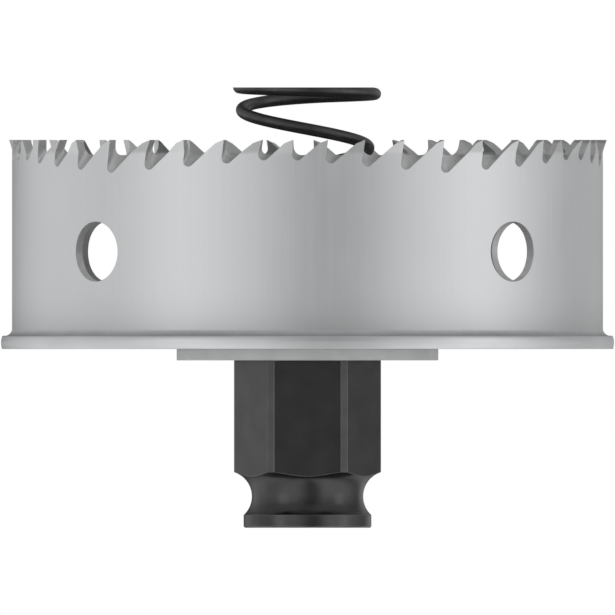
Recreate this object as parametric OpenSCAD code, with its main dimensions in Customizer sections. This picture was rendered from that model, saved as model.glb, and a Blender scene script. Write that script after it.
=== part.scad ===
/* [Saw band] */
// Diameter of the hole that is cut, over the teeth set outward
cut_d = 79; // [70:0.5:90]
// Thickness of the rolled strip
band_wall = 1.2; // [1:0.05:1.4]
// Height of the band, from the base disc to the tooth tips
band_height = 25.84; // [22:0.01:34]
// Diameter of the sight holes in the band
sight_hole_d = 7.9; // [5:0.1:9]
// Height of the sight holes' centres above the base disc
sight_hole_height = 11.1; // [8:0.1:13]
// Number of sight holes round the band
sight_holes = 4; // [2:1:6]
// Turn of the first sight hole from the +X side
sight_hole_turn = 44.15; // [0:0.05:90]

/* [Teeth] */
// Longest tooth pitch, measured along the strip
pitch_longest = 6.22; // [5.9:0.01:6.8]
// Change from one tooth pitch to the next
pitch_step = 0.43; // [0.3:0.01:0.45]
// Number of teeth before the pitches repeat
pitch_cycle = 9; // [7:2:9]
// Slope of the short relief flat behind each tip
relief_angle = 20.5; // [15:0.5:25]
// Length of the relief flat along the strip
relief_length = 1.15; // [0.8:0.01:1.5]
// Slope of the tooth's back, from the relief flat to the gullet
back_angle = 40.3; // [38:0.1:44]
// Rake of the cutting face, undercut when positive
rake_angle = 7.5; // [0:0.5:8]
// Radius of the gullet
gullet_r = 0.7; // [0.4:0.01:0.8]
// Sideways bend of a set tooth at its tip
set_width = 0.5; // [0.3:0.01:0.7]
// Height of the bent part of a set tooth
set_height = 1.85; // [1.4:0.01:2]
// Height over which the bend starts
set_bend = 0.4; // [0.2:0.01:0.6]
// Turn of the first tooth after the strip's weld from the +X side
weld_tooth_turn = 19.2; // [19.2:90:289.2]

/* [Base disc] */
// Distance by which the base disc stands out past the band
disc_overhang = 1.465; // [1.46:0.005:6]
// Thickness of the base disc
disc_thickness = 1.76; // [1.5:0.01:2.5]
// Rounding of the base disc's edge
disc_edge_r = 0.4; // [0.2:0.01:0.45]
// Radius of the weld fillet between band and base disc
weld_r = 0.9; // [0.5:0.01:1]
// Height of the step that centres the band on the base disc
register_height = 0.8; // [0.5:0.05:1.5]
// Width of the step that centres the band
register_width = 1.6; // [1:0.1:4]
// Gap between the step and the band
register_gap = 0.05; // [0.02:0.01:0.15]

/* [Backing washer] */
// Diameter of the backing washer
washer_d = 34.54; // [26:0.01:50]
// Thickness of the backing washer
washer_thickness = 1.5; // [1:0.01:3]
// Chamfer of the backing washer's edges
washer_chamfer = 0.15; // [0.05:0.01:0.3]

/* [Hub] */
// Width of the hexagon across its flats
hex_flats = 17.3; // [16.5:0.01:18.4]
// Width of the hexagon over its flattened corners
hex_corners = 19.4; // [19:0.01:19.8]
// Length of the shank, from its end face to the backing washer
shank_length = 22.09; // [18:0.01:30]
// Diameter of the collar at the shank's end
collar_d = 16.87; // [15.8:0.01:18]
// Diameter of the neck in the ball groove
neck_d = 14.7; // [13.6:0.01:15.4]
// Radius of the ball groove
groove_r = 3.33; // [2.6:0.01:3.6]
// Height of the ball groove's centre above the end face
groove_height = 4.14; // [3.9:0.01:5]
// Chamfer of the collar's edges
collar_chamfer = 0.18; // [0.05:0.01:0.4]
// Diameter of the bore for the pilot drill
bore_d = 8.2; // [6:0.1:8.4]
// Chamfer at the mouth of the bore
bore_chamfer = 0.5; // [0.2:0.05:1]
// Diameter of the spigot that passes through washer and base disc
spigot_d = 14; // [13.4:0.1:16]
// Width of the spigot across its two flats
spigot_flats = 12.4; // [11.5:0.1:13.2]
// Gap round the spigot in washer and base disc
spigot_gap = 0.05; // [0.02:0.01:0.15]
// Diameter of the riveted head inside the cup
head_d = 19; // [18:0.1:24]
// Height of the riveted head
head_height = 2.3; // [2:0.05:3.5]
// Rounding of the riveted head's edge
head_edge_r = 0.7; // [0.3:0.05:0.8]
// Depth of the spring's seat in the riveted head
seat_depth = 1.3; // [0.9:0.05:1.5]

/* [Ejector spring] */
// Diameter of the spring wire
wire_d = 1.58; // [1.2:0.01:1.8]
// Outer diameter of the spring at its free end
spring_top_d = 19.66; // [16:0.01:24]
// Outer diameter of the spring at its seat
spring_seat_d = 11.9; // [11.6:0.01:14]
// Height of the spring's free end above the tooth tips
spring_reach = 6.93; // [3:0.01:10]
// Rise of the open coils in one turn
open_rise = 10; // [8:0.1:14]
// Rise of the closed end coils in one turn
closed_rise = 1.72; // [1.7:0.01:2.4]
// Turns of each closed end coil
closed_turns = 0.68; // [0.5:0.01:1]
// Turns over which a closed coil opens
opening_turns = 0.33; // [0.2:0.01:0.5]
// Gap between the last coil and the wall of its seat
seat_gap = 0.25; // [0.15:0.01:0.4]
// Turn of the spring's free end from the +X side
spring_end_turn = 180; // [0:5:355]

/* [Hidden] */
$fn = 96;
// Overlap that keeps two cut faces from lying in one plane
over = 1;

washer_z = shank_length;
disc_z = washer_z + washer_thickness;
band_z = disc_z + disc_thickness;
tip_z = band_z + band_height;
set_z = tip_z - set_height;
head_z = band_z + head_height;
seat_z = head_z - seat_depth;

band_r = cut_d / 2 - set_width;
band_inner_r = band_r - band_wall;
strip_length = 2 * PI * band_r;

// Tooth j stands at tooth_at[j] along the strip, and gap j is the one after it
function gap_in_cycle(j) = pitch_longest - pitch_step * min(j % pitch_cycle, pitch_cycle - j % pitch_cycle);
tooth_at = [for (s = 0, j = 0; s <= strip_length - pitch_longest; s = s + gap_in_cycle(j), j = j + 1) s];
teeth = len(tooth_at);
function gap_width(j) = j < teeth - 1 ? tooth_at[j + 1] - tooth_at[j] : strip_length - tooth_at[j];
function strip_turn(s) = weld_tooth_turn + s / band_r * 180 / PI;

// Outline of a gap, with both tips at z = 0 and its middle at u = 0
relief_drop = relief_length * tan(relief_angle);
gap_half_angle = (90 - rake_angle - back_angle) / 2;
gap_middle_angle = (90 - rake_angle + back_angle) / 2;
function tip_u(w) = band_r * sin(w / 2 / band_r * 180 / PI);
function corner_z(w) =
    -(relief_drop + (2 * tip_u(w) - relief_length) * tan(back_angle)) / (1 - tan(rake_angle) * tan(back_angle));
function free_round_z(w) = corner_z(w) + gullet_r / sin(gap_half_angle) * sin(gap_middle_angle);
// The gap at the strip's weld is the widest, and is no deeper than the longest pitch makes the others
function round_z(w) = max(free_round_z(w), free_round_z(pitch_longest));
function face_round_u(w) = -tip_u(w) + round_z(w) * tan(rake_angle) + gullet_r / cos(rake_angle);
function back_round_u(w) =
    tip_u(w) - relief_length + (round_z(w) + relief_drop - gullet_r / cos(back_angle)) / tan(back_angle);
function arc(u, z, r, from, to, steps) =
    [for (i = [0:steps]) let (a = from + (to - from) * i / steps) [u + r * cos(a), z + r * sin(a)]];
function gap_outline(w) = concat(
    [[-tip_u(w) + over * tan(rake_angle), over]],
    arc(face_round_u(w), round_z(w), gullet_r, 180 - rake_angle, 270, 4),
    arc(back_round_u(w), round_z(w), gullet_r, 272, 270 + back_angle, 2),
    [
        [tip_u(w) - relief_length, -relief_drop],
        [tip_u(w) + over / 2, over / 2 * tan(relief_angle)],
        [tip_u(w) + over / 2, over]
    ]
);

// The space between tooth j and the next, cut towards the saw's axis
module gap(j) {
    w = gap_width(j);
    rotate([0, 0, strip_turn(tooth_at[j] + w / 2)])
        translate([band_inner_r - 2 * over, 0, tip_z])
            rotate([90, 0, 90])
                linear_extrude(band_wall + 4 * over) polygon(gap_outline(w));
}

// End of tooth j's sector along the strip, just past the deepest point of the gullet after it
function sector_end(j) = tooth_at[j] + gap_width(j) / 2 + face_round_u(gap_width(j)) + 0.1;

// Section of the strip's top: a straight foot, the bend, and a lean of side * set_width at the tips
tooth_foot = 0.5;
lean = set_width / (set_height - set_bend / 2);
function lean_at(h) = lean * max(h - set_bend / 2, 0);
function tooth_section(side) =
    let (top = set_height + over / 2, levels = side == 0 ? [-tooth_foot, top] : [-tooth_foot, 0, set_bend, top])
    concat(
        [for (h = levels) [band_r + side * lean_at(h), set_z + h]],
        [for (i = [len(levels) - 1:-1:0]) [band_inner_r + side * lean_at(levels[i]), set_z + levels[i]]]
    );

// The top of tooth j: straight, inward and outward teeth follow one another
module tooth(j) {
    before = j == 0 ? teeth - 1 : j - 1;
    start = j == 0 ? sector_end(before) - strip_length : sector_end(before);
    side = [0, -1, 1][j % 3];
    difference() {
        rotate([0, 0, strip_turn(start)])
            rotate_extrude(angle = (sector_end(j) - start) / band_r * 180 / PI)
                polygon(tooth_section(side));
        gap(before);
        gap(j);
    }
}

module saw_band() {
    ring_h = set_z - tooth_foot / 2 - band_z;
    color("silver") union() {
        difference() {
            translate([0, 0, band_z]) cylinder(h = ring_h, r = band_r);
            translate([0, 0, band_z - over]) cylinder(h = ring_h + 2 * over, r = band_inner_r);
            for (j = [0:teeth - 1]) gap(j);
            for (i = [0:sight_holes - 1])
                rotate([0, 0, sight_hole_turn + i * 360 / sight_holes])
                    translate([band_inner_r - over, 0, band_z + sight_hole_height])
                        rotate([0, 90, 0]) cylinder(h = band_wall + 2 * over, d = sight_hole_d);
        }
        for (j = [0:teeth - 1]) tooth(j);
    }
}

// Hole for the hub's spigot, with the same two flats
module spigot_hole(z, thickness) {
    translate([0, 0, z - over]) intersection() {
        cylinder(h = thickness + 2 * over, d = spigot_d + 2 * spigot_gap);
        translate([-spigot_d, -spigot_flats / 2 - spigot_gap, 0])
            cube([2 * spigot_d, spigot_flats + 2 * spigot_gap, thickness + 2 * over]);
    }
}

// The disc that closes the cup, with the weld fillet round the band's foot
module stop_flange() {
    disc_r = band_r + disc_overhang;
    register_r = band_inner_r - register_gap;
    color("silver") difference() {
        union() {
            rotate_extrude() polygon(concat(
                [[0, disc_z]],
                arc(disc_r - disc_edge_r, disc_z + disc_edge_r, disc_edge_r, 270, 360, 4),
                arc(disc_r - disc_edge_r, band_z - disc_edge_r, disc_edge_r, 0, 90, 4),
                arc(band_r + weld_r, band_z + weld_r, weld_r, 270, 180, 5),
                [[band_r, band_z], [0, band_z]]
            ));
            translate([0, 0, band_z - over / 2]) difference() {
                cylinder(h = register_height + over / 2, r = register_r);
                translate([0, 0, -over]) cylinder(h = register_height + 3 * over, r = register_r - register_width);
            }
        }
        spigot_hole(disc_z, disc_thickness);
    }
}

module backing_washer() {
    r = washer_d / 2;
    c = washer_chamfer;
    color("silver") difference() {
        rotate_extrude() polygon([
            [0, washer_z], [r - c, washer_z], [r, washer_z + c],
            [r, disc_z - c], [r - c, disc_z], [0, disc_z]
        ]);
        spigot_hole(washer_z, washer_thickness);
    }
}

// Hexagon with flattened corners, a flat towards -Y
module hexagon() {
    intersection() {
        circle(d = hex_flats / cos(30), $fn = 6);
        rotate([0, 0, 30]) circle(d = hex_corners / cos(30), $fn = 6);
    }
}

// The turned shank: collar, ball groove, hexagon, spigot and riveted head in one piece
module hub() {
    collar_r = collar_d / 2;
    head_r = head_d / 2;
    neck_z = groove_height;
    color("dimgray") difference() {
        union() {
            translate([0, 0, neck_z]) linear_extrude(washer_z - neck_z) hexagon();
            rotate_extrude() polygon([
                [0, 0], [collar_r - collar_chamfer, 0], [collar_r, collar_chamfer],
                [collar_r, neck_z], [0, neck_z]
            ]);
            translate([0, 0, washer_z]) intersection() {
                cylinder(h = band_z - washer_z, d = spigot_d);
                translate([-spigot_d, -spigot_flats / 2, 0]) cube([2 * spigot_d, spigot_flats, band_z - washer_z]);
            }
            rotate_extrude() polygon(concat(
                [[0, band_z], [head_r, band_z]],
                arc(head_r - head_edge_r, head_z - head_edge_r, head_edge_r, 0, 90, 4),
                [[0, head_z]]
            ));
        }
        rotate_extrude() translate([neck_d / 2 + groove_r, groove_height]) circle(r = groove_r);
        translate([0, 0, -over]) cylinder(h = head_z + 2 * over, d = bore_d);
        translate([0, 0, -over]) cylinder(h = over + bore_chamfer, r1 = bore_d / 2 + bore_chamfer + over, r2 = bore_d / 2);
        translate([0, 0, seat_z]) cylinder(h = seat_depth + over, d = spring_seat_d + 2 * seat_gap);
    }
}

// Drop of the wire's centre below the free end, t turns down the spring
spring_top_z = tip_z + spring_reach;
spring_drop = spring_top_z - seat_z;
// Turns from the free end to where the last coil starts to close
closing_at =
    (spring_drop + closed_turns * (open_rise - 2 * closed_rise) - closed_rise * opening_turns) / open_rise;
spring_turns = closing_at + opening_turns + closed_turns;
function eased(t) = t <= 0 ? 0 : t < opening_turns ? t * t / 2 / opening_turns : t - opening_turns / 2;
function drop_at(t) =
    closed_rise * t + (open_rise - closed_rise) * (eased(t - closed_turns) - eased(t - closing_at));
function coil_r(t) =
    (spring_top_d + (spring_seat_d - spring_top_d) * drop_at(t) / spring_drop - wire_d) / 2;
// A helix of round wire whose two ends are ground flat
wire_sides = 12;
ring_turn = 12;
rings = ceil(spring_turns * 360 / ring_turn);
function wire_ring(i) =
    let (
        t = spring_turns * i / rings,
        dt = 0.01,
        a = spring_end_turn + 360 * t,
        r = coil_r(t),
        along = 2 * PI * r * dt,
        fall = drop_at(t + dt / 2) - drop_at(t - dt / 2),
        tilt = atan2(fall, along)
    )
    [for (k = [0:wire_sides - 1]) let (
        b = 360 * k / wire_sides,
        out = wire_d / 2 * cos(b),
        up = wire_d / 2 * sin(b),
        x = r + out,
        y = up * sin(tilt),
        z = spring_top_z - drop_at(t) + up * cos(tilt)
    ) [
        x * cos(a) - y * sin(a),
        x * sin(a) + y * cos(a),
        min(max(z, seat_z), spring_top_z)
    ]];

module ejector_spring() {
    points = [for (i = [0:rings]) each wire_ring(i)];
    n = wire_sides;
    sides = [for (i = [0:rings - 1], k = [0:n - 1]) let (m = (k + 1) % n)
        each [[i * n + k, (i + 1) * n + k, (i + 1) * n + m], [i * n + k, (i + 1) * n + m, i * n + m]]];
    first_end = [for (k = [0:n - 1]) k];
    last_end = [for (k = [n - 1:-1:0]) rings * n + k];
    color("black") polyhedron(points = points, faces = concat(sides, [first_end, last_end]));
}

saw_band();
stop_flange();
backing_washer();
hub();
ejector_spring();
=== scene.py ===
import bisect
import math
import bmesh
import bpy
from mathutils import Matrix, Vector
from mathutils.geometry import delaunay_2d_cdt
from mathutils.kdtree import KDTree


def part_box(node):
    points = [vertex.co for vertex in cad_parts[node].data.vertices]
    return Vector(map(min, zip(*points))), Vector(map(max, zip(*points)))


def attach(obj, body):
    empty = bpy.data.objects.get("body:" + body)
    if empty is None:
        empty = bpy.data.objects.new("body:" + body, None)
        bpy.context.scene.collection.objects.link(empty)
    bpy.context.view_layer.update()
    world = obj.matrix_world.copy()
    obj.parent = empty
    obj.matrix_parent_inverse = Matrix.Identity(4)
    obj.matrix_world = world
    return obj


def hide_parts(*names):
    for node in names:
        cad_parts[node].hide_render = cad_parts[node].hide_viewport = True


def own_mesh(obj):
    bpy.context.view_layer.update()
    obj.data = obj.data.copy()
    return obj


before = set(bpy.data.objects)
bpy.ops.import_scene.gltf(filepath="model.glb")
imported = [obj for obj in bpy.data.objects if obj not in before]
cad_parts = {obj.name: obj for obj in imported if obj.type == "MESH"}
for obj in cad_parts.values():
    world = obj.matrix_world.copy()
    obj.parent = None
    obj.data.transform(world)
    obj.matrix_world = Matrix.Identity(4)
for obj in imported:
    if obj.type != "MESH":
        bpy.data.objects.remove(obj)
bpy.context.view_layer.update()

mm = 0.001
fullTurn = 2 * math.pi


# Height in mm of a CAD piece's lower end (0) or upper end (1).
def endOf(node, end):
    return round(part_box(node)[end][2] / mm, 3)


# Heights along the axis, in mm above the shank's end face, mostly those of the CAD pieces
heights = {
    "washer": endOf("backing_washer", 0),
    "disc": endOf("stop_flange", 0),
    "band": endOf("saw_band", 0),
    "seat": endOf("ejector_spring", 0),
    "head": endOf("hub", 1),
    "tips": 51.19,  # of the straight teeth; those of the CAD that lean reach a little higher
    "springTop": endOf("ejector_spring", 1),
}

# Other sizes that pieces share, in mm
bandRadius = 39.0
spigotRadius = 7.0
spigotHalfFlat = 6.2


# Point in metres, from a radius and height in mm.
def around(r, angle, z):
    return Vector((r * math.cos(angle) * mm, r * math.sin(angle) * mm, z * mm))


def arcPoints(r, z, radius, start, end, steps):
    return [
        (r + radius * math.cos(math.radians(start + (end - start) * i / steps)),
         z + radius * math.sin(math.radians(start + (end - start) * i / steps)))
        for i in range(steps + 1)
    ]


# Round spigot with two flats, or the hole round it where there is a gap.
def spigotOutline(angle, gap):
    return min(spigotRadius + gap, (spigotHalfFlat + gap) / max(abs(math.sin(angle)), 1e-6))


def smoothShade(mesh, sharpAngle):
    mesh.shade_smooth()
    mesh.set_sharp_from_angle(angle=math.radians(sharpAngle))


# New object with these finishes; faceSkins names the finish of each face, or else the first one is on all.
def newPiece(name, points, faces, skins, faceSkins=()):
    mesh = bpy.data.meshes.new(name)
    mesh.from_pydata(points, [], faces)
    for skin in skins:
        mesh.materials.append(materials[skin])
    for polygon, skin in zip(mesh.polygons, faceSkins):
        polygon.material_index = skins.index(skin)
    bm = bmesh.new()
    bm.from_mesh(mesh)
    bmesh.ops.remove_doubles(bm, verts=bm.verts, dist=2e-6)
    bmesh.ops.recalc_face_normals(bm, faces=bm.faces)
    bm.to_mesh(mesh)
    bm.free()
    smoothShade(mesh, 28)  # less than the turn at the hexagon's corners
    piece = bpy.data.objects.new(name, mesh)
    bpy.context.scene.collection.objects.link(piece)
    return piece


# Closed profile carried once round the axis; profileAt gives its (r, z) points at an angle,
# and skinAt the finish of the faces after point k.
def spinPiece(name, profileAt, columns, skins, skinAt=None):
    points, faces, faceSkins = [], [], []
    for i in range(columns):
        angle = fullTurn * i / columns
        points += [around(r, angle, z) for r, z in profileAt(angle)]
    rows = len(points) // columns
    for i in range(columns):
        for k in range(rows):
            near, far = i * rows, (i + 1) % columns * rows
            up = (k + 1) % rows
            faces.append((near + k, far + k, far + up, near + up))
            faceSkins.append(skinAt(k) if skinAt else skins[0])
    return newPiece(name, points, faces, skins, faceSkins)


# Small rounds on edges that turn by more than the angle, so that they catch the light; their own finish, on
# the hub a lighter tone, adds a painted highlight.
def breakEdges(piece, width, angle, skinNumber):
    bevel = piece.modifiers.new("edges", "BEVEL")
    bevel.width = width * mm
    bevel.material = skinNumber
    bevel.segments = 2
    bevel.limit_method = "ANGLE"
    bevel.angle_limit = math.radians(angle)
    bevel.harden_normals = True
    shaped = piece.evaluated_get(bpy.context.evaluated_depsgraph_get())
    mesh = bpy.data.meshes.new_from_object(shaped)
    piece.modifiers.clear()
    piece.data = mesh


def shade(tone, factor):
    return tuple(channel * factor for channel in tone)


# Node tree: each helper adds what it needs and returns an output
class Nodes:
    def __init__(self, tree):
        self.tree = tree

    def add(self, kind, **settings):
        node = self.tree.nodes.new(kind)
        for key, setting in settings.items():
            setattr(node, key, setting)
        return node

    def link(self, output, socket):
        self.tree.links.new(output, socket)

    # An input takes a number, a tone or another node's output.
    def feed(self, socket, value):
        if isinstance(value, (int, float)):
            socket.default_value = value
        elif isinstance(value, tuple):
            socket.default_value = (*value, 1)
        else:
            self.link(value, socket)

    def maths(self, operation, *values):
        node = self.add("ShaderNodeMath", operation=operation)
        for socket, value in zip(node.inputs, values):
            self.feed(socket, value)
        return node.outputs[0]

    # The range from start to end, carried over to the one from low to high.
    def ramp(self, value, low, high, start=0.3, end=0.7, easing="LINEAR"):
        node = self.add("ShaderNodeMapRange", interpolation_type=easing)
        for key, number in (("From Min", start), ("From Max", end), ("To Min", low), ("To Max", high)):
            node.inputs[key].default_value = number
        self.link(value, node.inputs["Value"])
        return node.outputs["Result"]

    def mixed(self, factor, first, second, blend="MIX"):
        node = self.add("ShaderNodeMix", data_type="RGBA", blend_type=blend)
        for key, value in (("Factor", factor), ("A", first), ("B", second)):
            self.feed(node.inputs[key], value)
        return node.outputs["Result"]

    # Two patterns in one, of which the second has the given share.
    def blended(self, first, second, share):
        weighed = [self.maths("MULTIPLY", first, 1 - share), self.maths("MULTIPLY", second, share)]
        return self.maths("ADD", *weighed)

    # 1 for what metal and glass mirror, 0 for all else.
    def mirroredRays(self):
        rays = self.add("ShaderNodeLightPath")
        return self.maths("ADD", rays.outputs["Is Glossy Ray"], rays.outputs["Is Transmission Ray"])


# Material with its place on the piece in mm, from the values of one finish
class Finish(Nodes):
    def __init__(self, name, values):
        self.material = bpy.data.materials.new(name)
        self.material.use_nodes = True
        super().__init__(self.material.node_tree)
        self.values = values
        self.shader = self.tree.nodes["Principled BSDF"]
        self.shader.inputs["Base Color"].default_value = (*values["tone"], 1)
        self.shader.inputs["Metallic"].default_value = values["metal"]
        self.shader.inputs["Roughness"].default_value = sum(values["roughness"]) / 2
        scale = self.add("ShaderNodeVectorMath", operation="SCALE")
        scale.inputs["Scale"].default_value = 1 / mm
        self.link(self.add("ShaderNodeTexCoord").outputs["Object"], scale.inputs[0])
        self.place = scale.outputs["Vector"]

    def stretched(self, factors):
        node = self.add("ShaderNodeVectorMath", operation="MULTIPLY")
        self.link(self.place, node.inputs[0])
        node.inputs[1].default_value = factors
        return node.outputs["Vector"]

    def height(self):
        parts = self.add("ShaderNodeSeparateXYZ")
        self.link(self.place, parts.inputs[0])
        return parts.outputs["Z"]

    # Coordinates for marks that run round the axis: a share of the distance from it, and height.
    def turned(self, share=1.0):
        reach = self.add("ShaderNodeVectorMath", operation="LENGTH")
        self.link(self.stretched((1, 1, 0)), reach.inputs[0])
        joined = self.add("ShaderNodeCombineXYZ")
        self.link(self.maths("MULTIPLY", reach.outputs["Value"], share), joined.inputs["X"])
        self.link(self.height(), joined.inputs["Y"])
        return joined.outputs[0]

    def noise(self, vector, scale, detail=2, roughness=0.5):
        node = self.add("ShaderNodeTexNoise")
        for key, number in (("Scale", scale), ("Detail", detail), ("Roughness", roughness)):
            node.inputs[key].default_value = number
        self.link(vector, node.inputs["Vector"])
        return node.outputs[0]

    # The finish's tone, darker and lighter along a pattern.
    def mottled(self, pattern):
        darkest, lightest = (shade(self.values["tone"], share) for share in self.values["mottle"])
        return self.mixed(self.ramp(pattern, 0, 1), darkest, lightest)

    # The finished material: roughness follows one pattern, and the relief another.
    def surface(self, colour, dulling, relief):
        self.link(colour, self.shader.inputs["Base Color"])
        self.link(self.ramp(dulling, *self.values["roughness"]), self.shader.inputs["Roughness"])
        bump = self.add("ShaderNodeBump")
        bump.inputs["Distance"].default_value = self.values["grain"] * mm
        self.link(relief, bump.inputs["Height"])
        self.link(bump.outputs["Normal"], self.shader.inputs["Normal"])
        return self.material


# Roughness and mottle run from the least to the most, patterns are counted per mm, grain is a depth in mm
steelFinishes = {
    "band": {"tone": (0.649, 0.656, 0.664), "metal": 1.0, "roughness": (0.41, 0.51), "mottle": (0.955, 1.03),
             "clouds": 0.12, "streaks": (3.2, 3.2, 0.05), "speckle": 6.0, "grain": 0.0016, "darkFoot": 0.79},
    # darker copy of the band's finish for the inner face: painted shade of the cup's inside
    "inside": {"tone": (0.48, 0.483, 0.487), "metal": 1.0, "roughness": (0.44, 0.56), "mottle": (0.955, 1.03),
               "clouds": 0.12, "streaks": (3.2, 3.2, 0.05), "speckle": 6.0, "grain": 0.002, "darkFoot": 0.9},
    "cut": {"tone": (0.575, 0.578, 0.58), "metal": 0.9, "roughness": (0.44, 0.58), "mottle": (0.9, 1.06),
            "clouds": 0.8, "lines": 9.0, "grain": 0.003},
    "bore": {"tone": (0.58, 0.583, 0.585), "metal": 0.6, "roughness": (0.52, 0.66), "mottle": (0.9, 1.06),
             "clouds": 0.8, "lines": 9.0, "grain": 0.003},
    "disc": {"tone": (0.651, 0.658, 0.667), "metal": 1.0, "roughness": (0.39, 0.50), "mottle": (0.96, 1.03),
             "clouds": 0.15, "lines": 3.0, "grain": 0.0006},
    "weld": {"tone": (0.60, 0.605, 0.612), "metal": 1.0, "roughness": (0.51, 0.61), "mottle": (0.95, 1.04),
             "clouds": 0.3, "speckle": 3.0, "grain": 0.003},
    "washer": {"tone": (0.62, 0.628, 0.624), "metal": 0.3, "roughness": (0.51, 0.59), "mottle": (0.95, 1.04),
               "clouds": 0.3, "speckle": 3.0, "grain": 0.002},
    "hub": {"tone": (0.067, 0.067, 0.067), "metal": 1.0, "roughness": (0.20, 0.28), "mottle": (0.88, 1.12),
            "clouds": 0.35, "lines": 6.0, "grain": 0.0012, "glancing": 0.9},
    # lighter tone on the hub's rounded edges: painted highlight
    "hubEdgeHighlight": {"tone": (0.12, 0.12, 0.12), "metal": 1.0, "roughness": (0.25, 0.35), "mottle": (0.88, 1.12),
                "clouds": 0.35, "lines": 6.0, "grain": 0.0012, "glancing": 0.9},
    "spring": {"tone": (0.085, 0.085, 0.085), "metal": 1.0, "roughness": (0.39, 0.49), "mottle": (0.85, 1.2),
               "clouds": 0.5, "drawn": (1.5, 1.5, 6.6), "grain": 0.0015},
}
footDarkening = {"low": 0.9, "high": 8.6, "fade": 2.8}  # the band darker towards its foot, over these heights in mm above the disc


# Rolled faces: satin, with faint streaks along the axis, and darker towards the foot.
def bandSteel(key):
    made = Finish(key + "Steel", steelFinishes[key])
    clouds = made.noise(made.place, made.values["clouds"], detail=3)
    streaks = made.noise(made.stretched(made.values["streaks"]), 1.0, detail=3, roughness=0.6)
    speckle = made.noise(made.place, made.values["speckle"], detail=4, roughness=0.7)
    pattern = made.blended(clouds, streaks, 0.55)
    low, high = heights["band"] + footDarkening["low"], heights["band"] + footDarkening["high"]
    foot = made.maths("POWER", made.ramp(made.height(), 1, 0, low, high), footDarkening["fade"])
    darkened = shade(made.values["tone"], made.values["darkFoot"])
    colour = made.mixed(foot, made.mottled(pattern), darkened)
    return made.surface(colour, made.blended(pattern, speckle, 0.4), speckle)


# Flanks of the teeth and walls of the holes, with grinding lines round the axis.
def cutSteel(key):
    made = Finish(key + "Steel", steelFinishes[key])
    lines = made.noise(made.turned(0.25), made.values["lines"], detail=3, roughness=0.6)
    return made.surface(made.mottled(made.noise(made.place, made.values["clouds"])), lines, lines)


def discSteel():
    made = Finish("discSteel", steelFinishes["disc"])
    lines = made.noise(made.turned(), made.values["lines"], roughness=0.6)
    return made.surface(made.mottled(made.noise(made.place, made.values["clouds"])), lines, lines)


# Washer and weld, with an even grain.
def grainedSteel(key):
    made = Finish(key + "Steel", steelFinishes[key])
    speckle = made.noise(made.place, made.values["speckle"], detail=5, roughness=0.7)
    return made.surface(made.mottled(made.noise(made.place, made.values["clouds"])), speckle, speckle)


def hubOxide(key):
    made = Finish(key + "Oxide", steelFinishes[key])
    glancing = made.values["glancing"]
    made.shader.inputs["Specular Tint"].default_value = (glancing, glancing, glancing, 1)  # a duller sheen
    lines = made.noise(made.turned(), made.values["lines"], detail=4, roughness=0.6)
    clouds = made.noise(made.place, made.values["clouds"], detail=3)
    return made.surface(made.mottled(clouds), made.blended(lines, clouds, 0.4), lines)


# Oxide on drawn wire.
def springBlack():
    made = Finish("springBlack", steelFinishes["spring"])
    drawn = made.noise(made.stretched(made.values["drawn"]), 1.0, detail=4, roughness=0.65)
    return made.surface(made.mottled(made.noise(made.place, made.values["clouds"])), drawn, drawn)


materials = {
    "band": bandSteel("band"),
    "inside": bandSteel("inside"),
    "cut": cutSteel("cut"),
    "bore": cutSteel("bore"),
    "disc": discSteel(),
    "weld": grainedSteel("weld"),
    "washer": grainedSteel("washer"),
    "hub": hubOxide("hub"),
    "hubEdgeHighlight": hubOxide("hubEdgeHighlight"),
    "spring": springBlack(),
}
print("materials made:", len(materials))


# Toothed band: the strip is laid out flat as (s, z), filled with triangles, and rolled to its radius.
# Each gullet is a ramp: its outline is deep on the outer side and has a flat floor on the inner side
sawBand = {
    "wall": 1.2,
    "sightHole": 7.9,
    "sightHoleHeight": 11.1,  # above the band's foot
    "sightHoleCount": 4,
    "sightHoleTurn": 44.15,
    "longestPitch": 6.22,
    "pitchStep": 0.43,  # from tooth to tooth, down and up again in one cycle
    "pitchCycle": 9,
    "reliefAngle": 20.5,  # of the flat behind the tip, in degrees as all angles here
    "reliefLength": 1.15,
    "backAngle": 40.3,
    "rakeAngle": 7.5,  # of the cutting face, from upright
    "gulletRadius": 0.7,
    "innerReliefAngle": 30.0,
    "innerBackShift": 0.5,  # the tooth's back drops towards the inner side
    "innerRakeAngle": 2.5,
    "innerRadius": 1.03,
    "floorDepth": 2.0,
    "shoulderRadius": 1.2,
    "setWidth": 0.5,
    "setHeight": 1.85,
    "setBend": 0.45,
    "setDrift": 0.25,  # sideways travel of a set tooth's tip, as a share of its set
    "weldTurn": 19.2,  # place of the strip's weld, and of its first tip
    "seamAt": -1.0,  # where the flat strip is cut, behind the first tip
    "rampRings": 4,
    "toothEdge": 0.03,  # broken edges, in mm
    "holeEdge": 0.03,
    "holeSides": 64,
    "plainEdge": 0.07,
    "columns": 240,
    "faceSteps": 9,
    "footSteps": 4,
    "shoulderSteps": 5,
    "plainRows": (1.2, 17),  # height and number of the mesh's rows on the plain part
    "closeRows": (0.55, 8),
    "toothRows": (0.4, 4),
    "bendRows": (-0.6, 0, 0.5, 1),  # as shares of the set's bend
    "holeRings": ((0.45, 0.5), (1.1, 0.0)),  # distance from the hole, and turn by a share of a side
    "holeMargin": 1.7,
    "margin": 0.3,  # from a mesh point to the strip's edges
    "longestEdge": 0.45,
    "shortestShare": 0.02,  # of a stretch of a gap's outline
}
bandSkins = ("band", "cut", "bore", "inside")
stripLength = fullTurn * bandRadius
stripStart, stripEnd = sawBand["seamAt"], sawBand["seamAt"] + stripLength
setLevel = heights["tips"] - sawBand["setHeight"]
bandInner = bandRadius - sawBand["wall"]


def toothPlaces():
    places, s, j = [], 0.0, 0
    cycle = sawBand["pitchCycle"]
    while s <= stripLength - sawBand["longestPitch"]:
        places.append(s)
        s += sawBand["longestPitch"] - sawBand["pitchStep"] * min(j % cycle, cycle - j % cycle)
        j += 1
    return places


toothAt = toothPlaces()
teeth = len(toothAt)


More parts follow.
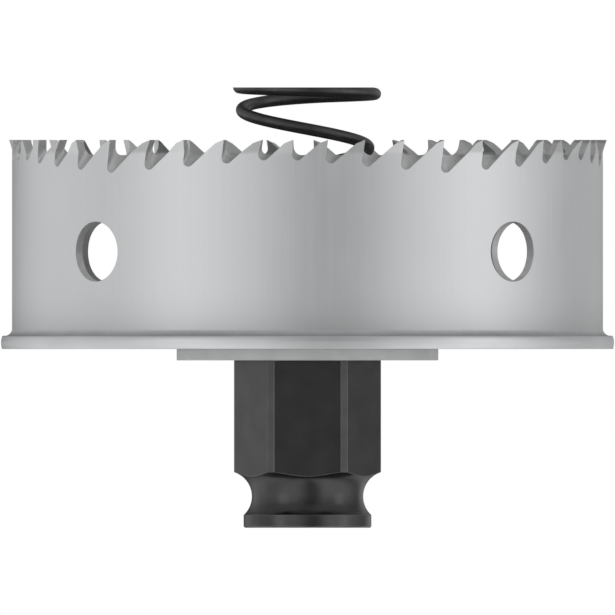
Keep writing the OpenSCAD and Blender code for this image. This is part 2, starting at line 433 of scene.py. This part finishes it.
# Rounded shoulder of a tooth, in the corner between two lines of these slopes in degrees.
def softened(corner, slopeBefore, slopeAfter):
    radius, steps = sawBand["shoulderRadius"], sawBand["shoulderSteps"]
    before = math.radians(slopeBefore)
    half = math.radians(slopeAfter - slopeBefore) / 2
    reach = abs(radius * math.tan(half))
    start = Vector(corner) - reach * Vector((math.cos(before), math.sin(before)))
    points = [tuple(start)]
    for i in range(steps):
        middle = before + half * (2 * i + 1) / steps
        chord = abs(2 * radius * math.sin(half / steps))
        start = start + chord * Vector((math.cos(middle), math.sin(middle)))
        points.append(tuple(start))
    return points


# Outer outline (u, z) of a gap about its middle, in stretches: cutting face, round, foot, back, relief.
def outerStretches(width):
    relief, back, rake = (math.radians(sawBand[key]) for key in ("reliefAngle", "backAngle", "rakeAngle"))
    radius, flat = sawBand["gulletRadius"], sawBand["reliefLength"]
    drop = flat * math.tan(relief)
    halfAngle = (math.pi / 2 - rake - back) / 2
    middleAngle = (math.pi / 2 - rake + back) / 2

    def freeRoundZ(w):
        corner = -(drop + (w - flat) * math.tan(back)) / (1 - math.tan(rake) * math.tan(back))
        return corner + radius / math.sin(halfAngle) * math.sin(middleAngle)

    roundZ = max(freeRoundZ(width), freeRoundZ(sawBand["longestPitch"]))
    tip = width / 2
    faceU = -tip + roundZ * math.tan(rake) + radius / math.cos(rake)
    backU = tip - flat + (roundZ + drop - radius / math.cos(back)) / math.tan(back)
    face = arcPoints(faceU, roundZ, radius, 180 - sawBand["rakeAngle"], 270, sawBand["faceSteps"])
    foot = arcPoints(backU, roundZ, radius, 270, 270 + sawBand["backAngle"], sawBand["footSteps"])
    floorZ = -sawBand["floorDepth"]
    turning = (tip - flat - (-drop - floorZ) / math.tan(back), floorZ)
    shoulder = softened((tip - flat, -drop), sawBand["backAngle"], sawBand["reliefAngle"])
    return [
        [(-tip, 0), face[0]],
        face,
        [face[-1]] + foot + [turning],
        [turning] + shoulder,
        [shoulder[-1], (tip, 0)],
    ]


# The same stretches on the inner side, where a flat floor takes the place of the foot.
def innerStretches(width):
    angles = ("innerReliefAngle", "backAngle", "innerRakeAngle")
    relief, back, rake = (math.radians(sawBand[key]) for key in angles)
    radius, tip, floorZ = sawBand["innerRadius"], width / 2, -sawBand["floorDepth"]
    outerDrop = sawBand["reliefLength"] * math.tan(math.radians(sawBand["reliefAngle"]))
    flat = sawBand["reliefLength"] - sawBand["innerBackShift"]
    kink = (outerDrop / math.tan(back) - flat) / (math.tan(relief) / math.tan(back) - 1)
    faceU = -tip + (floorZ + radius) * math.tan(rake) + radius / math.cos(rake)
    turn = 180 - sawBand["innerRakeAngle"]
    face = arcPoints(faceU, floorZ + radius, radius, turn, 270, sawBand["faceSteps"])
    turning = (tip - flat - (-outerDrop - floorZ) / math.tan(back), floorZ)
    shoulder = softened((tip - kink, -kink * math.tan(relief)), sawBand["backAngle"],
                        sawBand["innerReliefAngle"])
    return [
        [(-tip, 0), face[0]],
        face,
        [face[-1], turning],
        [turning] + shoulder,
        [shoulder[-1], (tip, 0)],
    ]


# Shares of a line's length at its corners, at the given heights, and between them where they lie far apart.
def sharesAlong(line, cuts):
    lengths = [math.dist(a, b) for a, b in zip(line, line[1:])]
    total, passed, shares = sum(lengths), 0.0, {0.0, 1.0}
    for (a, b), length in zip(zip(line, line[1:]), lengths):
        shares.add(passed / total)
        for height in cuts:
            if (a[1] - height) * (b[1] - height) < 0:
                shares.add((passed + length * (height - a[1]) / (b[1] - a[1])) / total)
        parts = max(1, math.ceil(length / sawBand["longestEdge"]))
        shares.update((passed + length * i / parts) / total for i in range(parts))
        passed += length
    return shares


# Point on a line at a share of its length.
def pointAt(line, share):
    lengths = [math.dist(a, b) for a, b in zip(line, line[1:])]
    left = share * sum(lengths)
    for a, b, length in zip(line, line[1:], lengths):
        if left <= length + 1e-9:
            t = left / length if length else 0
            return a[0] + (b[0] - a[0]) * t, a[1] + (b[1] - a[1]) * t
        left -= length
    return line[-1]


# Both outlines of a gap with the same number of points, as (u, z, stretch).
# The gap that the seam cuts through gets a point there.
def pairedOutlines(width, seamU):
    cuts = [-sawBand["setHeight"] + sawBand["setBend"] * k for k in (0, 0.5, 1)]
    least = sawBand["shortestShare"]
    outer, inner = [], []
    for k, (outLine, inLine) in enumerate(zip(outerStretches(width), innerStretches(width))):
        merged = []
        for share in sorted(sharesAlong(outLine, cuts) | sharesAlong(inLine, cuts)):
            if not merged or share - merged[-1] > least or share == 1:
                merged.append(share)
        if len(merged) > 2 and merged[-1] - merged[-2] < least:
            merged.pop(-2)
        for share in merged if k == 0 else merged[1:]:
            outer.append((*pointAt(outLine, share), k))
            inner.append((*pointAt(inLine, share), k))
    if seamU is None:
        return outer, inner
    nearSeam = 0.02
    split = len(outer) - 1
    while max(outer[split - 1][0], inner[split - 1][0]) >= seamU - nearSeam:
        split -= 1
    while min(outer[split][0], inner[split][0]) < seamU + nearSeam:
        del outer[split], inner[split]
    for line in (outer, inner):
        a, b = line[split - 1], line[split]
        t = (seamU - a[0]) / (b[0] - a[0])
        line.insert(split, (seamU, a[1] + (b[1] - a[1]) * t, b[2]))
    return outer, inner


# Outer and inner top edges of the strip from seam to seam, as (s, z, tooth), and where its gullets are.
def topEdges():
    edges, deepest = ([], []), []
    for j in range(teeth):
        nextTip = toothAt[j + 1] if j < teeth - 1 else stripLength
        middle, width = (nextTip + toothAt[j]) / 2, nextTip - toothAt[j]
        pair = pairedOutlines(width, stripEnd - middle if j == teeth - 1 else None)
        deepest.append(middle + min(pair[0], key=lambda point: point[1])[0])
        for edge, line in zip(edges, pair):
            for u, z, stretch in line[1 if j else 0:]:
                tooth = (j if stretch < 2 else j + 1) % teeth  # foot, back and relief are the next tooth's
                edge.append((middle + u, heights["tips"] + z, tooth))
    seam = next(i for i, point in enumerate(edges[0]) if abs(point[0] - stripEnd) < 1e-6)
    whole = []
    for edge in edges:
        pastSeam = [(s - stripLength, z, tooth) for s, z, tooth in edge[seam:-1]]
        whole.append(pastSeam + edge[:seam + 1])
    return whole, deepest


(outerTop, innerTop), gulletAt = topEdges()


# Teeth stand straight, inward and outward in turn.
def toothSide(tooth):
    return (0, -1, 1)[tooth % 3]


def toothOf(s):
    return bisect.bisect_right(gulletAt, s) % teeth


# Sideways offset of a set tooth at height z, and its slope.
def lean(tooth, z):
    bend, rise = sawBand["setBend"], z - setLevel
    slope = toothSide(tooth) * sawBand["setWidth"] / (sawBand["setHeight"] - bend / 2)
    if rise <= 0:
        return 0.0, 0.0
    if rise < bend:
        return slope * rise * rise / 2 / bend, slope * rise / bend
    return slope * (rise - bend / 2), slope


# Place of a point of the strip once it is rolled and the tooth is set.
def rolled(s, z, tooth, radius):
    offset = lean(tooth, z)[0]
    turn = math.radians(sawBand["weldTurn"]) + (s - sawBand["setDrift"] * offset) / bandRadius
    return around(radius + offset, turn, z)


# The line moved into the metal, which lies to its right.
def insetLine(line, width):
    sharpest = 0.35  # keeps a sharp corner from moving too far
    count, moved = len(line), []
    for i, here in enumerate(line):
        total = Vector((0, 0))
        for a, b in ((line[max(i - 1, 0)], here), (here, line[min(i + 1, count - 1)])):
            step = Vector((b[0] - a[0], b[1] - a[1]))
            if step.length > 1e-9:
                total += Vector((step.y, -step.x)) / step.length
        step = total.normalized() * width / max(total.length / 2, sharpest)
        moved.append((here[0] + step.x, here[1] + step.y, here[2]))
    for end in (0, -1):
        moved[end] = (line[end][0], moved[end][1], line[end][2])
    return moved


# Test of a place against the line over it, also where a cutting face leans over.
def underLine(line):
    reach = 1.0  # mm, more than a face leans
    places = [point[0] for point in line]

    def inMetal(s, z):
        first = max(bisect.bisect_left(places, s - reach) - 1, 0)
        near = line[first:bisect.bisect_right(places, s + reach) + 1]
        crossings = 0
        for (s1, z1, _), (s2, z2, _) in zip(near, near[1:]):
            if (s1 > s) != (s2 > s) and z < z1 + (z2 - z1) * (s - s1) / (s2 - s1):
                crossings += 1
        return crossings % 2 == 1
    return inMetal


holeZ = heights["band"] + sawBand["sightHoleHeight"]
holeRadius = sawBand["sightHole"] / 2


def sightHoleCentres():
    centres = []
    for k in range(sawBand["sightHoleCount"]):
        turn = sawBand["sightHoleTurn"] + 360 * k / sawBand["sightHoleCount"] - sawBand["weldTurn"]
        s = math.radians(turn) * bandRadius
        centres.append((s - stripLength * math.floor((s - stripStart) / stripLength), holeZ))
    return centres


def holeRing(centre, radius, shift=0.0):
    points = []
    for i in range(sawBand["holeSides"]):
        angle = fullTurn * (i + shift) / sawBand["holeSides"]
        s = centre[0] + bandRadius * math.asin(radius * math.cos(angle) / bandRadius)
        points.append((s, centre[1] + radius * math.sin(angle), 0))
    return points


# Heights of the mesh's rows, which get closer towards the teeth.
def meshRows():
    bend, margin = sawBand["setBend"], sawBand["margin"]
    (plain, plainCount), (close, closeCount), (tooth, toothCount) = (
        sawBand[key] for key in ("plainRows", "closeRows", "toothRows"))
    rows = [heights["band"] + plain * k for k in range(1, plainCount + 1)]
    rows += [rows[-1] + close * k for k in range(1, closeCount + 1)]
    rows = [z for z in rows if z < setLevel - margin]
    rows += [setLevel + bend * share for share in sawBand["bendRows"]]
    return rows + [setLevel + bend + tooth * k for k in range(1, toothCount + 1)]


# One side of the strip as flat triangles: its points (s, z, tooth), faces, and ids along each edge.
def fillSide(top, bottom, holes):
    columns, margin = sawBand["columns"], sawBand["margin"]
    rows = meshRows()
    sideRows = [z for z in rows if z < top[0][1] - margin]
    flat, teethOf = [], []

    def put(points):
        start = len(flat)
        for s, z, tooth in points:
            flat.append(Vector((s, z)))
            teethOf.append(tooth)
        return list(range(start, len(flat)))

    ids = {"top": put(top), "bottom": put(bottom)}
    left = put([(stripStart, z, 0) for z in sideRows])
    right = put([(stripEnd, z, 0) for z in reversed(sideRows)])
    outline = ids["top"] + right + ids["bottom"] + left
    edges = list(zip(outline, outline[1:] + outline[:1]))
    for k, centre in enumerate(holes):
        ids[k] = put(holeRing(centre, holeRadius + sawBand["holeEdge"]))
        edges += list(zip(ids[k], ids[k][1:] + ids[k][:1]))
    tree = KDTree(len(flat))
    for i, point in enumerate(flat):
        tree.insert((point.x, point.y, 0), i)
    tree.balance()
    for centre in holes:
        for extra, shift in sawBand["holeRings"]:
            put(holeRing(centre, holeRadius + extra, shift))

    def clearOfHoles(s, z, reach):
        return all(math.hypot(s - c[0], z - c[1]) > reach for c in holes)

    inMetal = underLine(top)
    for i in range(1, columns):
        s = stripStart + stripLength * i / columns
        for z in rows:
            farFromEdge = tree.find((s, z, 0))[2] > margin
            if farFromEdge and inMetal(s, z) and clearOfHoles(s, z, holeRadius + sawBand["holeMargin"]):
                put([(s, z, toothOf(s))])
    points, _, triangles, origins, _, _ = delaunay_2d_cdt(flat, edges, [], 1, 1e-6)

    # A triangle fills a sight hole if its corners all lie on the same hole's ring.
    onRing = holeRadius + sawBand["holeRings"][0][0] / 2
    kept = []
    for triangle in triangles:
        corners = [points[i] for i in triangle]
        if not any(all(math.hypot(p.x - c[0], p.y - c[1]) < onRing for p in corners) for c in holes):
            kept.append(tuple(triangle))
    newId = {source: i for i, sources in enumerate(origins) for source in sources}
    placed = []
    for p, sources in zip(points, origins):
        placed.append((p.x, p.y, teethOf[sources[0]] if sources else toothOf(p.x)))
    return placed, kept, {key: [newId[i] for i in row] for key, row in ids.items()}


def makeBand():
    foot, edge, columns = heights["band"], sawBand["plainEdge"], sawBand["columns"]
    holes = sightHoleCentres()
    bottom = []
    for i in range(columns, -1, -1):
        s = stripStart + stripLength * i / columns
        bottom.append((s, foot, toothOf(s)))
    raised = [(s, foot + edge, tooth) for s, _, tooth in bottom]
    solid, faces, faceSkins, sides = [], [], [], []
    # the inner face takes the darker finish, painted shade
    for line, radius, skin in ((outerTop, bandRadius, "band"), (innerTop, bandInner, "inside")):
        placed, kept, ids = fillSide(insetLine(line, sawBand["toothEdge"]), raised, holes)
        start = len(solid)
        solid += [rolled(s, z, tooth, radius) for s, z, tooth in placed]
        faces += [tuple(start + i for i in triangle) for triangle in kept]
        faceSkins += [skin] * len(kept)
        sides.append({key: [start + i for i in row] for key, row in ids.items()})

    # Faces through the wall, between the outer and the inner line.
    def wallAlong(key, outerLine, innerLine, width, rings, skin, closed=False):
        levels = [sides[0][key]]
        for k in range(rings + 1):
            share = k / rings
            radius = bandRadius - width - (sawBand["wall"] - 2 * width) * share
            levels.append(list(range(len(solid), len(solid) + len(outerLine))))
            for (s1, z1, tooth), (s2, z2, _) in zip(outerLine, innerLine):
                solid.append(rolled(s1 + (s2 - s1) * share, z1 + (z2 - z1) * share, tooth, radius))
        levels.append(sides[1][key])
        count = len(outerLine)
        for upper, lower in zip(levels, levels[1:]):
            for i in range(count if closed else count - 1):
                k = (i + 1) % count
                faces.append((upper[i], upper[k], lower[k], lower[i]))
                faceSkins.append(skin)

    wallAlong("top", outerTop, innerTop, sawBand["toothEdge"], sawBand["rampRings"], "cut")
    wallAlong("bottom", bottom, bottom, edge, 1, "bore")
    for k, centre in enumerate(holes):
        ring = holeRing(centre, holeRadius)
        wallAlong(k, ring, ring, sawBand["holeEdge"], 1, "bore", closed=True)
    piece = newPiece("sawBandDetailed", solid, faces, bandSkins, faceSkins)

    # Exact normals on the rolled faces
    mesh = piece.data
    normals = [corner.vector.copy() for corner in mesh.corner_normals]
    for polygon in mesh.polygons:
        skin = bandSkins[polygon.material_index]
        if skin not in ("band", "inside"):
            continue
        for corner in polygon.loop_indices:
            spot = mesh.vertices[mesh.loops[corner].vertex_index].co
            angle = math.atan2(polygon.center.y, polygon.center.x) - math.radians(sawBand["weldTurn"])
            s = stripStart + (angle * bandRadius - stripStart) % stripLength
            slope = lean(toothOf(s), max(spot.z, polygon.center.z) / mm)[1]
            out = Vector((spot.x, spot.y, -math.hypot(spot.x, spot.y) * slope)).normalized()
            normals[corner] = -out if skin == "inside" else out
    mesh.normals_split_custom_set(normals)
    return piece


band = makeBand()
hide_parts("saw_band")
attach(band, "saw")
print("band made:", teeth, "teeth,", len(band.data.polygons), "faces")


# Base disc with its crowned edge, the weld fillet and the step that centres the band
stopFlange = {
    "overhang": 1.465,
    "topCrown": 0.20,  # how far the edge falls back from its widest line
    "lowerCrown": 0.14,
    "topRound": 0.22,
    "lowerRound": 0.1,
    "fillet": 0.74,
    "filletTurn": 16.0,  # between the band and the fillet's edge
    "filletLift": 0.012,
    "filletSteps": 12,
    "weldDepth": 0.3,  # how far the fillet reaches in behind the band's face
    "weldLift": 0.01,
    "stepHeight": 0.8,
    "stepWidth": 1.6,
    "stepChamfer": 0.1,
    "faceRings": (30.0, 17.4),  # radii of rings of points on the lower face
    "gap": 0.05,
    "columns": 240,
}


# Half of the edge's side, from its widest line at the middle to a small round at the face.
def crownedSide(reach, middle, half, crown, edge):
    steps = 6
    slope = math.atan(2 * crown / abs(half))
    cornerRise = (half - math.copysign(edge, half) * (1 - math.sin(slope))) / half
    side = [(reach - crown * (cornerRise * i / steps) ** 2, middle + half * cornerRise * i / steps)
            for i in range(steps + 1)]
    centre = (side[-1][0] - edge * math.cos(slope), middle + half - math.copysign(edge, half))
    turn = math.copysign(math.degrees(slope), half)
    return side + arcPoints(*centre, edge, turn, math.copysign(90, half), 4)[1:]


def flangeProfile(angle):
    low, high = heights["disc"], heights["band"]
    reach = bandRadius + stopFlange["overhang"]
    inner = bandRadius - sawBand["wall"] - stopFlange["gap"]
    weldInner, weldLow = bandRadius - stopFlange["weldDepth"], high + stopFlange["weldLift"]
    lift, fillet, turn = (stopFlange[key] for key in ("filletLift", "fillet", "filletTurn"))
    cos, sin = math.cos(math.radians(turn)), math.sin(math.radians(turn))
    filletRadius = fillet / (cos - sin)
    filletCentre = lift + filletRadius * cos
    hole = spigotOutline(angle, stopFlange["gap"])
    stepTop, chamfer = high + stopFlange["stepHeight"], stopFlange["stepChamfer"]
    stepInner = inner - stopFlange["stepWidth"]
    middle, half = (low + high) / 2, (high - low) / 2
    upper = crownedSide(reach, middle, half, stopFlange["topCrown"], stopFlange["topRound"])
    lower = crownedSide(reach, middle, -half, stopFlange["lowerCrown"], stopFlange["lowerRound"])
    return (
        [(hole, high), (stepInner, high), (stepInner, stepTop - chamfer), (stepInner + chamfer, stepTop)]
        + [(inner - chamfer, stepTop), (inner, stepTop - chamfer), (inner, weldLow)]
        + [(weldInner, weldLow), (weldInner, high + fillet + lift)]
        + arcPoints(bandRadius + filletCentre, high + filletCentre, filletRadius,
                    180 + turn, 270 - turn, stopFlange["filletSteps"])
        + list(reversed(upper)) + lower[1:]
        + [(r, low) for r in stopFlange["faceRings"]] + [(hole, low)]
    )


# The weld fillet is rougher than the turned disc.
def flangeSkin(k):
    first = 9  # points of the profile before the fillet's round
    return "weld" if first <= k <= first + stopFlange["filletSteps"] else "disc"


flange = spinPiece("stopFlangeDetailed", flangeProfile, stopFlange["columns"], ("disc", "weld"), flangeSkin)
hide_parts("stop_flange")
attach(flange, "saw")
print("base disc made:", len(flange.data.polygons), "faces")


# Punched backing washer with narrow broken edges
backingWasher = {"radius": 17.27, "topRound": 0.06, "lowerRound": 0.12, "gap": 0.05, "columns": 180}


def washerProfile(angle):
    low, high = heights["washer"], heights["disc"]
    radius, topRound, lowerRound = (backingWasher[key] for key in ("radius", "topRound", "lowerRound"))
    hole = spigotOutline(angle, backingWasher["gap"])
    return (
        [(hole, high)]
        + arcPoints(radius - topRound, high - topRound, topRound, 90, 0, 4)
        + arcPoints(radius - lowerRound, low + lowerRound, lowerRound, 0, -90, 3)
        + [(hole, low)]
    )


washer = spinPiece("backingWasherDetailed", washerProfile, backingWasher["columns"], ("washer",))
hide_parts("backing_washer")
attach(washer, "saw")
print("washer made:", len(washer.data.polygons), "faces")


# Hub: one closed skin from the bore's mouth over collar, groove, hexagon, spigot and riveted head
hub = {
    "acrossFlats": 17.3,
    "acrossCorners": 19.389,
    "collarRadius": 8.435,
    "collarChamfer": 0.18,
    "collarRing": 0.9,  # height of a ring of points on the collar
    "neckRadius": 7.35,
    "grooveRadius": 3.33,
    "grooveHeight": 4.14,
    "boreRadius": 4.1,
    "boreChamfer": 0.5,
    "boreEdge": 0.1,
    "headRadius": 9.5,
    "headRound": 0.7,
    "seatRadius": 6.2,
    "seatChamfer": 0.12,
    "hexRings": 6,
    "columns": 240,
    "edge": 0.06,  # width of the rounded edges, whose lighter tone is a painted highlight
    "edgeAngle": 24,  # edges that turn by more degrees are rounded
}
hubSkins = ("hub", "hubEdgeHighlight")


# Distance from the axis to the hexagon's skin, with its flattened corners.
def hexReach(angle):
    turn = math.degrees(angle)
    flat = min(abs((turn - 30) % 60), 60 - abs((turn - 30) % 60))
    corner = min(abs(turn % 60), 60 - abs(turn % 60))
    return min(hub["acrossFlats"] / 2 / math.cos(math.radians(flat)),
               hub["acrossCorners"] / 2 / math.cos(math.radians(corner)))


# Angle on the ball groove's round, from its neck to where it comes out at radius r.
def grooveAngle(r):
    centre = hub["neckRadius"] + hub["grooveRadius"]
    return math.degrees(math.acos((centre - r) / hub["grooveRadius"]))


def hubProfile(angle):
    reach, collar, chamfer = hexReach(angle), hub["collarRadius"], hub["collarChamfer"]
    bore, mouth = hub["boreRadius"], hub["boreChamfer"]
    centre, middle = hub["neckRadius"] + hub["grooveRadius"], hub["grooveHeight"]
    washerZ, bandZ, headZ, seatZ = (heights[key] for key in ("washer", "band", "head", "seat"))
    head, headRound, seat = hub["headRadius"], hub["headRound"], hub["seatRadius"]
    spigot = spigotOutline(angle, 0)
    lower = arcPoints(centre, middle, hub["grooveRadius"], 180 + grooveAngle(collar), 180, 10)
    upper = arcPoints(centre, middle, hub["grooveRadius"], 180, 180 - grooveAngle(reach), 14)
    hexStart = upper[-1][1]
    rings = hub["hexRings"]
    hexSide = [(reach, hexStart + (washerZ - hexStart) * i / rings) for i in range(1, rings + 1)]
    return (
        [(bore + mouth, 0), (collar - chamfer, 0), (collar, chamfer), (collar, hub["collarRing"])]
        + lower + upper[1:] + hexSide
        + [(spigot, washerZ), (spigot, bandZ), (head, bandZ)]
        + arcPoints(head - headRound, headZ - headRound, headRound, 0, 90, 8)
        + [(seat + hub["seatChamfer"], headZ), (seat, headZ - hub["seatChamfer"]), (seat, seatZ)]
        + [(bore + hub["boreEdge"], seatZ), (bore, seatZ - hub["boreEdge"]), (bore, mouth)]
    )


shank = spinPiece("hubDetailed", hubProfile, hub["columns"], hubSkins)
# the rounded edges take the lighter finish, a painted highlight
breakEdges(shank, hub["edge"], hub["edgeAngle"], hubSkins.index("hubEdgeHighlight"))
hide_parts("hub")
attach(shank, "saw")
print("hub made:", len(shank.data.polygons), "faces")


# Ejector spring: round wire on a cone, closed and ground flat at both ends
ejectorSpring = {
    "wire": 1.58,
    "topWidth": 19.66,
    "seatWidth": 11.9,
    "openRise": 10.0,  # a turn
    "closedRise": 1.72,
    "closedTurns": 0.68,  # at each end
    "openingTurns": 0.33,  # over which the rise changes
    "endTurn": 180.0,  # place of the wire's free end, in degrees
    "sides": 20,
    "ringsPerTurn": 80,
    "pressedShare": 0.37,  # of its height, at the end of its travel
}


# (angle, radius, height, slope) along the wire, from the free end down to the seat.
def springPath():
    fall = heights["springTop"] - heights["seat"]
    closedTurns, closedRise = ejectorSpring["closedTurns"], ejectorSpring["closedRise"]
    openRise, opening = ejectorSpring["openRise"], ejectorSpring["openingTurns"]
    closingAt = (fall + closedTurns * (openRise - 2 * closedRise) - closedRise * opening) / openRise
    turns = closingAt + opening + closedTurns

    def eased(t):
        if t <= 0:
            return 0
        return t * t / 2 / opening if t < opening else t - opening / 2

    def drop(t):
        return closedRise * t + (openRise - closedRise) * (eased(t - closedTurns) - eased(t - closingAt))

    rings = math.ceil(turns * ejectorSpring["ringsPerTurn"])
    little = 0.005  # of a turn, to take the slope over
    path = []
    for i in range(rings + 1):
        t = turns * i / rings
        share = drop(t) / fall
        width = ejectorSpring["topWidth"] + (ejectorSpring["seatWidth"] - ejectorSpring["topWidth"]) * share
        r = (width - ejectorSpring["wire"]) / 2
        slope = math.atan2(drop(t + little) - drop(t - little), 2 * little * fullTurn * r)
        angle = math.radians(ejectorSpring["endTurn"]) + fullTurn * t
        path.append((angle, r, heights["springTop"] - drop(t), slope))
    return path


def makeSpring():
    sides, wire = ejectorSpring["sides"], ejectorSpring["wire"] / 2
    path = springPath()
    points, faces = [], []
    for angle, r, z, slope in path:
        for k in range(sides):
            turn = fullTurn * k / sides
            out, up = wire * math.cos(turn), wire * math.sin(turn)
            x, y = r + out, up * math.sin(slope)
            points.append(Vector((
                (x * math.cos(angle) - y * math.sin(angle)) * mm,
                (x * math.sin(angle) + y * math.cos(angle)) * mm,
                (z + up * math.cos(slope)) * mm,
            )))
    for i in range(len(path) - 1):
        for k in range(sides):
            near, far, side = i * sides, (i + 1) * sides, (k + 1) % sides
            faces.append((near + k, far + k, far + side, near + side))
    faces.append(tuple(range(sides)))
    faces.append(tuple(reversed(range((len(path) - 1) * sides, len(path) * sides))))
    piece = newPiece("ejectorSpringDetailed", points, faces, ("spring",))

    # Both ends ground flat
    bm = bmesh.new()
    bm.from_mesh(piece.data)
    for level, up in ((heights["springTop"], 1), (heights["seat"], -1)):
        cut = bmesh.ops.bisect_plane(bm, geom=bm.verts[:] + bm.edges[:] + bm.faces[:], dist=1e-7,
                                     plane_co=(0, 0, level * mm), plane_no=(0, 0, up), clear_outer=True)
        rim = [e for e in cut["geom_cut"] if isinstance(e, bmesh.types.BMEdge) and e.is_boundary]
        bmesh.ops.contextual_create(bm, geom=rim)
    bmesh.ops.recalc_face_normals(bm, faces=bm.faces)
    bmesh.ops.triangulate(bm, faces=[f for f in bm.faces if len(f.verts) > 4])
    bm.to_mesh(piece.data)
    bm.free()
    smoothShade(piece.data, 30)
    return piece


spring = makeSpring()
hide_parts("ejector_spring")
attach(spring, "saw")
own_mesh(spring)
print("spring made:", len(spring.data.polygons), "faces")


# Studio: pale floor, white surround, soft lamps to the left and right
studio = {
    "floor": {"tone": (0.80, 0.80, 0.79), "metal": 0.0, "roughness": (0.7, 0.7), "mottle": (0.99, 1.0),
              "clouds": 0.5},
    "floorRadius": 1.2,
    "fill": 0.78,  # brightness of the surround for matt surfaces
    # brightness of the surround in metal, by the angle from the front, left negative
    "surround": [
        (-180, 0.12), (-160, 0.19), (-135, 0.80), (-107, 0.89), (-86, 0.75), (-67, 0.80), (-51, 1.02),
        (-36, 1.0), (-21, 0.97), (-6, 0.60), (8, 0.30), (22, 0.48), (37, 1.05), (53, 1.26),
        (70, 1.23), (88, 0.96), (108, 0.68), (124, 0.44), (145, 0.70), (165, 0.33), (180, 0.14),
    ],
    "underfoot": 1.1,  # share of that brightness below and above
    "overhead": 0.42,
    "fade": (-0.3, 1.1),  # z of the direction where each is reached
}


def makeFloor():
    bm = bmesh.new()
    bmesh.ops.create_circle(bm, cap_ends=True, segments=128, radius=studio["floorRadius"])
    mesh = bpy.data.meshes.new("floor")
    bm.to_mesh(mesh)
    bm.free()
    floor = bpy.data.objects.new("floor", mesh)
    floor.location.z = -0.02 * mm  # clear of the shank's end face
    bpy.context.scene.collection.objects.link(floor)
    made = Finish("floorPaper", studio["floor"])
    clouds = made.noise(made.place, made.values["clouds"], detail=3)
    made.link(made.mottled(clouds), made.shader.inputs["Base Color"])
    passing = made.add("ShaderNodeMixShader")  # metal shows the surround below the horizon too
    made.link(made.mirroredRays(), passing.inputs[0])
    made.link(made.shader.outputs[0], passing.inputs[1])
    made.link(made.add("ShaderNodeBsdfTransparent").outputs[0], passing.inputs[2])
    made.link(passing.outputs[0], made.tree.nodes["Material Output"].inputs["Surface"])
    mesh.materials.append(made.material)


def makeSurround():
    world = bpy.data.worlds.new("studio")
    bpy.context.scene.world = world
    world.use_nodes = True
    world.node_tree.nodes.clear()
    made = Nodes(world.node_tree)
    parts = made.add("ShaderNodeSeparateXYZ")
    made.link(made.add("ShaderNodeTexCoord").outputs["Generated"], parts.inputs[0])
    angle = made.maths("ARCTAN2", parts.outputs["X"], made.maths("MULTIPLY", parts.outputs["Y"], -1.0))
    byAngle = made.add("ShaderNodeValToRGB")
    byAngle.color_ramp.interpolation = "CARDINAL"
    made.link(made.maths("MULTIPLY_ADD", angle, 1 / fullTurn, 0.5), byAngle.inputs[0])
    stops = byAngle.color_ramp.elements
    for degrees, level in studio["surround"]:
        end = {-180: stops[0], 180: stops[-1]}.get(degrees)  # a new ramp has these two
        stop = end or stops.new(degrees / 360 + 0.5)
        stop.color = (level, level, level, 1)
    shares = studio["underfoot"], studio["overhead"]
    byHeight = made.ramp(parts.outputs["Z"], *shares, *studio["fade"], "SMOOTHSTEP")
    inMetal = made.mixed(1.0, byAngle.outputs["Color"], byHeight, "MULTIPLY")
    seen = made.mixed(made.mirroredRays(), (studio["fill"],) * 3, inMetal)
    onCamera = made.add("ShaderNodeLightPath").outputs["Is Camera Ray"]
    background = made.add("ShaderNodeBackground")
    made.link(made.mixed(onCamera, seen, (1.0, 1.0, 1.0)), background.inputs["Color"])
    made.link(background.outputs[0], made.add("ShaderNodeOutputWorld").inputs["Surface"])


# Turn from the front and rise in degrees, distance and size in metres
softboxes = {
    "leftBox": {"turn": -52, "rise": 8, "distance": 0.9, "width": 0.3, "height": 0.7, "watts": 0.28},
    "rightBox": {"turn": 70, "rise": 8, "distance": 0.9, "width": 0.3, "height": 0.7, "watts": 0.3},
    "topBox": {"turn": 20, "rise": 62, "distance": 1.1, "width": 1.4, "height": 1.0, "watts": 0.4},
}
lampAim = 35  # height that they point at


def makeLamps():
    aim = Vector((0, 0, lampAim * mm))
    for name, values in softboxes.items():
        lamp = bpy.data.lights.new(name, "AREA")
        lamp.shape = "RECTANGLE"
        lamp.size, lamp.size_y = values["width"], values["height"]
        lamp.energy = values["watts"]
        turn, rise = math.radians(values["turn"]), math.radians(values["rise"])
        away = Vector((math.sin(turn) * math.cos(rise), -math.cos(turn) * math.cos(rise), math.sin(rise)))
        holder = bpy.data.objects.new(name, lamp)
        holder.location = aim + away * values["distance"]
        holder.rotation_mode = "QUATERNION"
        holder.rotation_quaternion = away.to_track_quat("Z", "Y")
        bpy.context.scene.collection.objects.link(holder)


makeFloor()
makeSurround()
makeLamps()


# Camera: level, square to the axis, from far away, as the photograph
cameraSetup = {"frameWidth": 81.17, "centreHeight": 29.07, "distance": 1000.0}


def makeCamera():
    data = bpy.data.cameras.new("camera")
    data.type = "ORTHO"
    data.ortho_scale = cameraSetup["frameWidth"] * mm
    data.clip_start = 10 * mm
    data.clip_end = 10 * cameraSetup["distance"] * mm
    camera = bpy.data.objects.new("camera", data)
    camera.location = (0, -cameraSetup["distance"] * mm, cameraSetup["centreHeight"] * mm)
    camera.rotation_euler = (math.pi / 2, 0, 0)
    bpy.context.scene.collection.objects.link(camera)
    bpy.context.scene.camera = camera


makeCamera()
bpy.context.scene.view_settings.view_transform = "Standard"
print("studio made")
